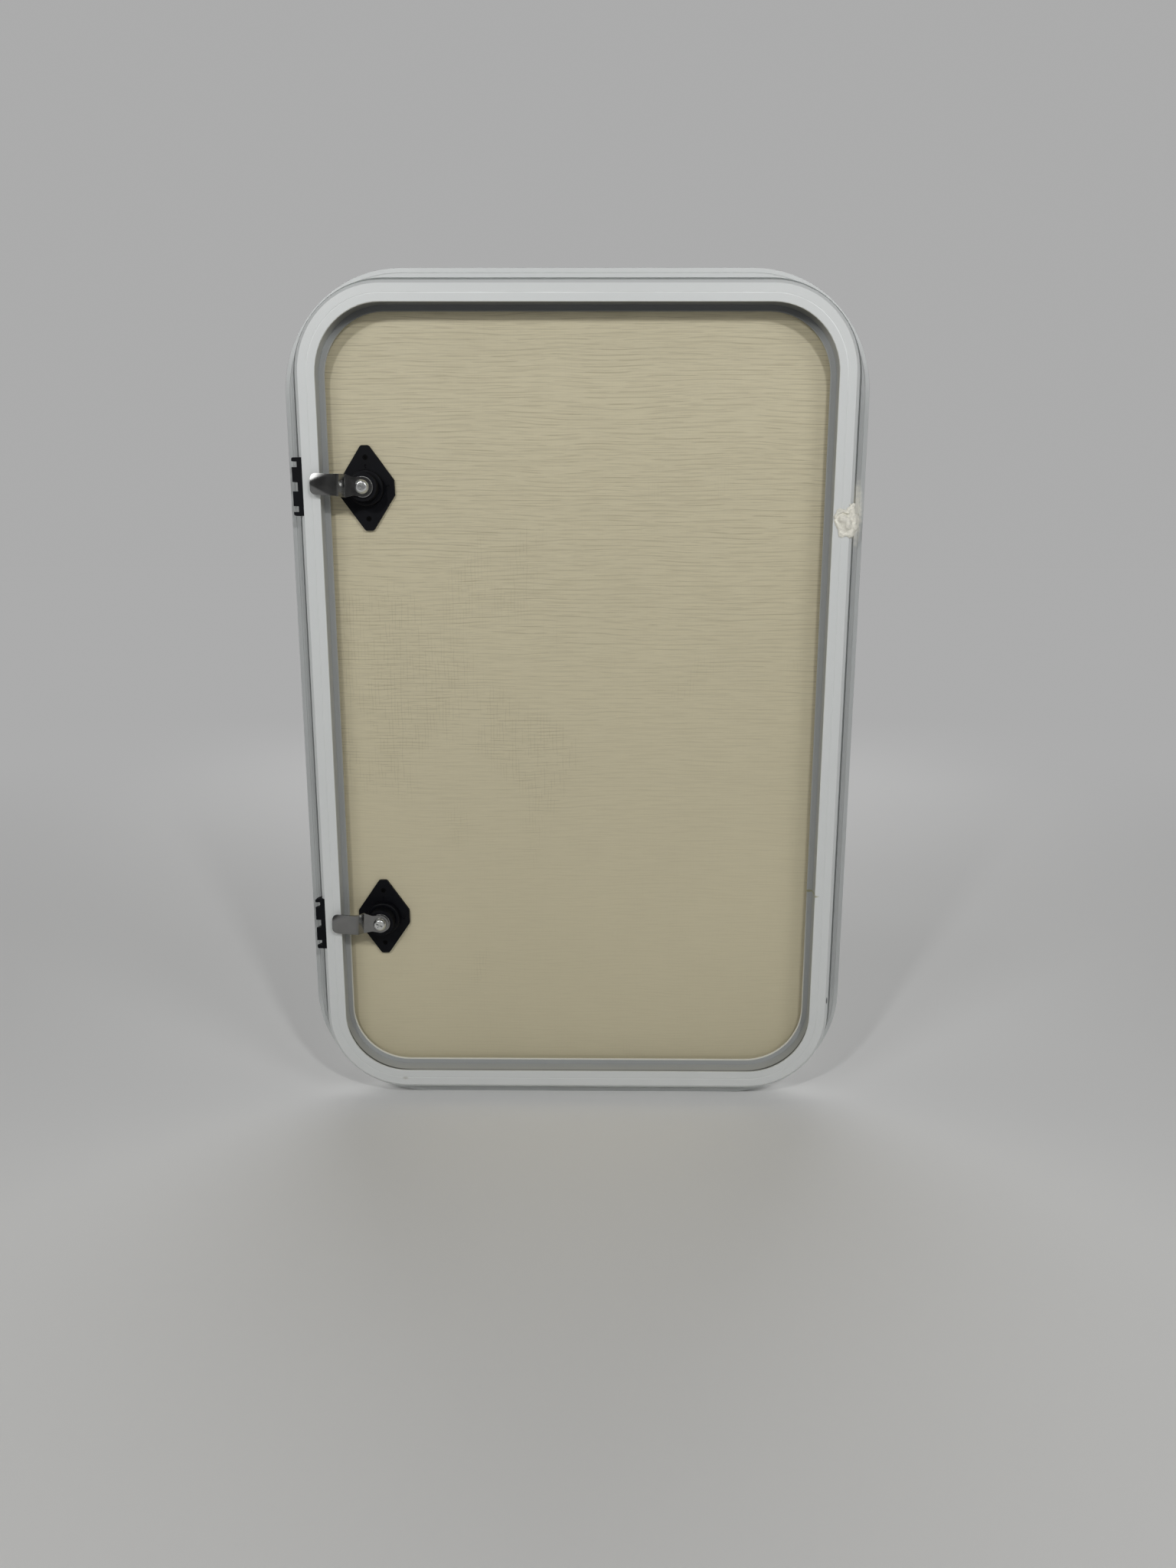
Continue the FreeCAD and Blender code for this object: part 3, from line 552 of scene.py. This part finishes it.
class HATCH_OT_locks(bpy.types.Operator):
    """Finish the lock plates, housings, barrels and the toothed clips"""
    bl_idname = "hatch.locks"
    bl_label = "Locks and clips"

    def execute(self, context):
        plastic = plastic_finish()
        cast = steel_finish("die_cast_barrel", tuple(colours().cast), 0.3)
        for side in SIDES:
            break_edges(f"{side}_lock_plate", plastic)
            break_edges(f"{side}_lock_housing", plastic)
            break_edges(f"{side}_toothed_clip", plastic, 1.3)
            break_edges(f"{side}_lock_barrel", cast)
        clothe(steel_finish("black_screw_steel", tuple(colours().dark_screw), 0.4), "lock_plate_screws")
        return {"FINISHED"}


class HATCH_OT_cams(bpy.types.Operator):
    """Finish the cams and their screws"""
    bl_idname = "hatch.cams"
    bl_label = "Cams"

    def execute(self, context):
        zinc = steel_finish("zinc_plated_steel", tuple(colours().zinc), 0.17, 0.03)
        bright = steel_finish("bright_screw_steel", tuple(colours().screw), 0.26)
        for side in SIDES:
            break_edges(f"{side}_lock_cam", zinc, 1.6, 14.0)
            clothe(bright, f"{side}_cam_screw")
        clothe(bright, "hinge_frame_screws", "hinge_door_screws")
        return {"FINISHED"}


class HATCH_OT_hinges(bpy.types.Operator):
    """Finish the hinges' leaves and pins"""
    bl_idname = "hatch.hinges"
    bl_label = "Hinges"

    def execute(self, context):
        steel = steel_finish("hinge_steel", tuple(colours().hinge), 0.3)
        for side in SIDES:
            break_edges(f"{side}_hinge_frame_leaf", steel, 1.2)
            break_edges(f"{side}_hinge_door_leaf", steel, 1.2)
            clothe(steel, f"{side}_hinge_pin")
        return {"FINISHED"}


LUMP_VOXEL = 0.45 * MM
FOLD_SIZE = 2.6 * MM
FOLD_HEIGHT = 1.1 * MM
SEALANT_SHIFT = (0.6 * MM, 0.0, -1.8 * MM)


def bead(points, radius):
    """Balls along a line, close enough to merge into one bead when the lump is remeshed."""
    for start, end in zip(points, points[1:]):
        start, end = Vector(start), Vector(end)
        count = max(1, math.ceil((end - start).length / (0.6 * radius)))
        for index in range(count + 1):
            bpy.ops.mesh.primitive_ico_sphere_add(subdivisions=2, radius=radius,
                                                  location=start.lerp(end, index / count))


def melt(lump, iterations):
    """Joins the balls that were added to a lump, and smooths the whole."""
    balls = [item for item in bpy.context.scene.objects if item.name.startswith("Icosphere")]
    deselect_all()
    for item in balls:
        item.select_set(True)
    lump.select_set(True)
    bpy.context.view_layer.objects.active = lump
    bpy.ops.object.join()
    apply_modifier(lump, "REMESH", mode="VOXEL", voxel_size=LUMP_VOXEL)
    apply_modifier(lump, "SMOOTH", factor=0.6, iterations=iterations)


class HATCH_OT_sealant(bpy.types.Operator):
    """Model the lump of hardened sealant over the frame's edge"""
    bl_idname = "hatch.sealant"
    bl_label = "Sealant lump"

    def execute(self, context):
        name = "sealant_lump"
        low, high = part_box(name)
        lump = merged_copy(name)
        middle, face = (low + high) / 2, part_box("outer_frame")[0].y
        radius = sizes().sealant_bead
        half_width, half_height = (high.x - low.x) / 2, (high.z - low.z) / 2

        def spot(right, up, proud):
            """A place over the frame's face, in shares of the lump's half sizes and of a bead."""
            return (middle.x + right * half_width, face - proud * radius, middle.z + up * half_height)

        bead([spot(-0.30, 0.10, 0.2), spot(0.00, 0.00, 0.2), spot(0.20, -0.30, 0.0)], 3.0 * radius)
        bead([spot(0.60, 0.30, -0.3), spot(0.70, -0.10, -0.4), spot(0.55, -0.50, -0.4)], 1.8 * radius)
        bead([spot(0.95, 0.30, -2.0), spot(1.02, -0.10, -2.6), spot(0.90, -0.45, -2.0)], 1.6 * radius)
        melt(lump, 30)
        bead([spot(-0.90, 0.18, 0.5), spot(-0.70, 0.42, 1.2),
              spot(-0.30, 0.54, 1.7), spot(0.12, 0.44, 1.6)], 0.9 * radius)
        bead([spot(-0.95, 0.00, 0.4), spot(-0.76, -0.12, 0.8), spot(-0.64, -0.36, 0.8)], 0.55 * radius)
        bead([spot(-0.52, -0.60, 0.5), spot(-0.15, -0.80, 0.9), spot(0.35, -0.80, 0.6)], 0.65 * radius)
        bead([spot(0.48, 0.60, 0.6), spot(0.28, 0.92, 0.8)], 0.5 * radius)
        melt(lump, 4)
        folds = bpy.data.textures.new("sealant_folds", "CLOUDS")
        folds.noise_scale = FOLD_SIZE
        folds.noise_depth = 2
        apply_modifier(lump, "DISPLACE", texture=folds, strength=FOLD_HEIGHT, mid_level=0.5)
        bpy.ops.object.mode_set(mode="EDIT")
        bpy.ops.mesh.select_all(action="SELECT")
        bpy.ops.transform.translate(value=SEALANT_SHIFT)
        bpy.ops.object.mode_set(mode="OBJECT")
        bpy.ops.object.shade_smooth()
        stand_for(lump, name, sealant_finish())
        return {"FINISHED"}


class HATCH_OT_stage(bpy.types.Operator):
    """Lay the floor, set the lights and the camera"""
    bl_idname = "hatch.stage"
    bl_label = "Stage"

    def execute(self, context):
        lay_floor()
        place_lights()
        place_camera()
        return {"FINISHED"}


FLOOR_SIZE = 80.0
# Distances from the hatch, in millimetres, over which the floor fades into the horizon's grey
FADE_START = 250.0
FADE_END = 2300.0
BLACK = (0.0, 0.0, 0.0)


def lay_floor():
    """A pale floor that fades into the horizon's grey, so that no line shows where it ends."""
    deselect_all()
    bpy.ops.mesh.primitive_plane_add(size=FLOOR_SIZE, location=(0, 0, cad_box[0].z))
    floor = bpy.context.object
    floor.name = "pale_floor"
    bpy.ops.object.transform_apply(location=True, rotation=True, scale=True)
    made = Finish("pale_paper")
    grey = tuple(studio().floor)
    cloud = made.noise(made.stretched(900, 900, 900), detail=2.0)
    fibre = made.noise(made.stretched(1.5, 1.5, 1.5), detail=2.0)
    far = made.step((made.x * made.x + made.y * made.y) ** 0.5, FADE_START, FADE_END)
    paper = made.mix(made.step(cloud, 0.3, 0.7), grey, [0.97 * c for c in grey])
    made.set(base_color=made.mix(far, paper, BLACK),
             emission_color=made.mix(far, BLACK, [studio().horizon] * 3),
             roughness=made.step(cloud, 0.3, 0.7, 0.78, 0.86), normal=made.bump(fibre, 0.1, 0.1))
    made.set(emission_strength=1.0, specular_ior_level=0.1)
    floor.data.materials.append(made.material)


LAMP_DISTANCE = 2.2
# Each lamp's name, degrees to the right of straight in front, degrees up, share of the power and
# size in metres
LAMPS = (
    ("left_lamp", -36, 25, 0.15, 0.50),
    ("front_left_lamp", -22, 29, 0.26, 0.12),
    ("front_lamp", 20, 31, 0.30, 0.12),
    ("right_lamp", 42, 25, 0.17, 0.60),
    ("upper_left_lamp", -35, 60, 0.04, 0.30),
    ("upper_right_lamp", 35, 60, 0.04, 0.30),
)
BACK_LAMP_PLACE = (0.0, 1.9, 0.9)
BACK_LAMP_SIZE = 2.4


def area_light(name, place, size, power):
    """A square soft light aimed at the hatch, which the camera doesn't see."""
    data = bpy.data.lights.new(name, "AREA")
    data.shape = "SQUARE"
    data.size = size
    data.energy = power
    light = bpy.data.objects.new(name, data)
    bpy.context.scene.collection.objects.link(light)
    light.location = place
    light.rotation_euler = (-Vector(place)).to_track_quat("-Z", "Y").to_euler()
    light.visible_camera = False


def place_lights():
    """Lamps in front and behind, and a grey all round that only the camera sees in full."""
    for name, across, up, share, size in LAMPS:
        across, up = math.radians(across), math.radians(up)
        way = Vector((math.sin(across) * math.cos(up), -math.cos(across) * math.cos(up), math.sin(up)))
        area_light(name, way * LAMP_DISTANCE, size, share * studio().lamp_power)
    area_light("back_lamp", BACK_LAMP_PLACE, BACK_LAMP_SIZE, studio().back_power)
    world = bpy.data.worlds.new("studio")
    bpy.context.scene.world = world
    world.use_nodes = True
    nodes, links = world.node_tree.nodes, world.node_tree.links
    seen = nodes.new("ShaderNodeLightPath")
    strength = nodes.new("ShaderNodeMapRange")
    links.new(seen.outputs["Is Camera Ray"], strength.inputs["Value"])
    strength.inputs["To Min"].default_value = studio().ambient
    strength.inputs["To Max"].default_value = studio().horizon
    background = nodes["Background"]
    background.inputs["Color"].default_value = (1.0, 1.0, 1.0, 1.0)
    links.new(strength.outputs["Result"], background.inputs["Strength"])


# The photo's camera: place in metres, angles in degrees, lens and sensor in millimetres
CAMERA_PLACE = (0.0168, -0.9668, 0.1413)
CAMERA_TILT = 12.13
CAMERA_TURN = 0.43
CAMERA_ROLL = -0.08
LENS = 24.61
SENSOR = 36.0


def place_camera():
    """The photo's camera, a little above the hatch's middle and tilted down."""
    data = bpy.data.cameras.new("photo_camera")
    data.sensor_fit = "AUTO"
    data.sensor_width = SENSOR
    data.lens = LENS
    data.clip_start = 0.01
    data.clip_end = 50.0
    camera = bpy.data.objects.new("photo_camera", data)
    bpy.context.scene.collection.objects.link(camera)
    camera.location = CAMERA_PLACE
    turns = (90.0 - CAMERA_TILT, CAMERA_ROLL, CAMERA_TURN)
    camera.rotation_euler = Euler([math.radians(turn) for turn in turns], "XYZ")
    bpy.context.scene.camera = camera


OPERATORS = (
    HATCH_OT_frame_paint,
    HATCH_OT_door_panel,
    HATCH_OT_locks,
    HATCH_OT_cams,
    HATCH_OT_hinges,
    HATCH_OT_sealant,
    HATCH_OT_stage,
)


class HATCH_PT_pieces(bpy.types.Panel):
    """Steps that finish the hatch, in order"""
    bl_idname = "HATCH_PT_pieces"
    bl_label = "Service hatch"
    bl_space_type = "VIEW_3D"
    bl_region_type = "UI"
    bl_category = "Hatch"

    def draw(self, context):
        for step in OPERATORS:
            self.layout.operator(step.bl_idname)
        for group in (colours(), sizes(), studio()):
            box = self.layout.box()
            for name in group.bl_rna.properties.keys():
                if name not in ("rna_type", "name"):
                    box.prop(group, name)


CLASSES = (HatchColours, HatchSizes, HatchStudio, *OPERATORS, HATCH_PT_pieces)


def register():
    for item in CLASSES:
        bpy.utils.register_class(item)
    bpy.types.Scene.hatch_colours = PointerProperty(type=HatchColours)
    bpy.types.Scene.hatch_sizes = PointerProperty(type=HatchSizes)
    bpy.types.Scene.hatch_studio = PointerProperty(type=HatchStudio)


def unregister():
    del bpy.types.Scene.hatch_studio
    del bpy.types.Scene.hatch_sizes
    del bpy.types.Scene.hatch_colours
    for item in reversed(CLASSES):
        bpy.utils.unregister_class(item)


def main():
    register()
    bpy.context.scene.view_settings.view_transform = "Standard"
    for step in OPERATORS:
        group, name = step.bl_idname.split(".")
        getattr(getattr(bpy.ops, group), name)()
    deselect_all()


if __name__ == "__main__":
    main()
